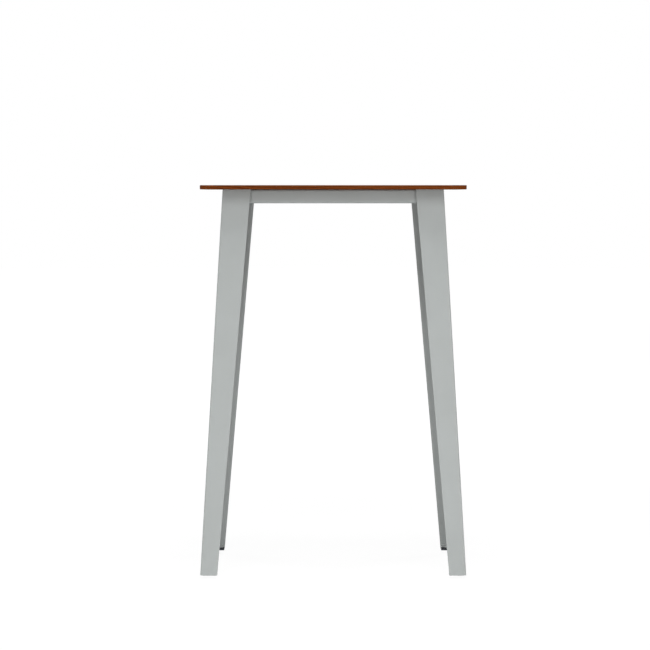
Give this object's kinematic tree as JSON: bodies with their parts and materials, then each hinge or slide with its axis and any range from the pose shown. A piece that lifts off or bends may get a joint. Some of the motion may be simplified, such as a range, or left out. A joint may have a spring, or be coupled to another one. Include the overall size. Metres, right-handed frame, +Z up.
{
  "type": "bar table",
  "caption": "Square bar table with tapered folded-steel angle legs, a folded steel apron frame, a thin wooden top and levelling feet.",
  "frame": {"origin": "on the floor under the middle of the top", "axes": "+X along the front edge to the right, +Y to the back, +Z up"},
  "size_m": [0.75, 0.75, 1.1],
  "materials": {
    "stained_wood": "reddish-brown stain under satin lacquer",
    "powder_coat": "light grey fine powder coat, satin",
    "black_plastic": "moulded black plastic",
    "zinc_steel": "bright zinc plating",
    "brass": "turned"
  },
  "bodies": {
    "table": {"tabletop": "stained_wood", "apron_front": "powder_coat", "apron_right": "powder_coat", "apron_rear": "powder_coat", "apron_left": "powder_coat", "leg_front_left": "powder_coat", "leg_front_right": "powder_coat", "leg_rear_right": "powder_coat", "leg_rear_left": "powder_coat", "gusset_front_left": "powder_coat", "gusset_front_right": "powder_coat", "gusset_rear_right": "powder_coat", "gusset_rear_left": "powder_coat", "foot_plate_front_left": "powder_coat", "foot_plate_front_right": "powder_coat", "foot_plate_rear_right": "powder_coat", "foot_plate_rear_left": "powder_coat", "foot_weld_nut_front_left": "powder_coat", "foot_weld_nut_front_right": "powder_coat", "foot_weld_nut_rear_right": "powder_coat", "foot_weld_nut_rear_left": "powder_coat", "leg_weld_studs": "zinc_steel", "leg_flange_nuts": "zinc_steel", "top_washers": "zinc_steel", "top_screws": "zinc_steel", "top_threaded_inserts": "brass"},
    "foot_pad_front_left": {"foot_pad_front_left": "black_plastic"},
    "foot_stud_front_left": {"foot_stud_front_left": "zinc_steel"},
    "foot_pad_front_right": {"foot_pad_front_right": "black_plastic"},
    "foot_stud_front_right": {"foot_stud_front_right": "zinc_steel"},
    "foot_pad_rear_right": {"foot_pad_rear_right": "black_plastic"},
    "foot_stud_rear_right": {"foot_stud_rear_right": "zinc_steel"},
    "foot_pad_rear_left": {"foot_pad_rear_left": "black_plastic"},
    "foot_stud_rear_left": {"foot_stud_rear_left": "zinc_steel"}
  },
  "joints": [
    {"name": "foot_travel_front_left", "type": "slide", "parent": "table", "child": "foot_pad_front_left", "axis": [0, 0, -1], "range_m": [0, 0.01]},
    {"name": "foot_turn_front_left", "type": "hinge", "parent": "foot_pad_front_left", "child": "foot_stud_front_left", "pos_m": [-0.34904, -0.34904, 0.02], "axis": [0, 0, -1], "range_deg": [0, 2880]},
    {"name": "foot_travel_front_right", "type": "slide", "parent": "table", "child": "foot_pad_front_right", "axis": [0, 0, -1], "range_m": [0, 0.01]},
    {"name": "foot_turn_front_right", "type": "hinge", "parent": "foot_pad_front_right", "child": "foot_stud_front_right", "pos_m": [0.34904, -0.34904, 0.02], "axis": [0, 0, -1], "range_deg": [0, 2880]},
    {"name": "foot_travel_rear_right", "type": "slide", "parent": "table", "child": "foot_pad_rear_right", "axis": [0, 0, -1], "range_m": [0, 0.01]},
    {"name": "foot_turn_rear_right", "type": "hinge", "parent": "foot_pad_rear_right", "child": "foot_stud_rear_right", "pos_m": [0.34904, 0.34904, 0.02], "axis": [0, 0, -1], "range_deg": [0, 2880]},
    {"name": "foot_travel_rear_left", "type": "slide", "parent": "table", "child": "foot_pad_rear_left", "axis": [0, 0, -1], "range_m": [0, 0.01]},
    {"name": "foot_turn_rear_left", "type": "hinge", "parent": "foot_pad_rear_left", "child": "foot_stud_rear_left", "pos_m": [-0.34904, 0.34904, 0.02], "axis": [0, 0, -1], "range_deg": [0, 2880]}
  ],
  "couplings": [
    {"joint": "foot_turn_front_left", "follows": "foot_travel_front_left", "rad_per_m": 5026.5},
    {"joint": "foot_turn_front_right", "follows": "foot_travel_front_right", "rad_per_m": 5026.5},
    {"joint": "foot_turn_rear_right", "follows": "foot_travel_rear_right", "rad_per_m": 5026.5},
    {"joint": "foot_turn_rear_left", "follows": "foot_travel_rear_left", "rad_per_m": 5026.5}
  ]
}
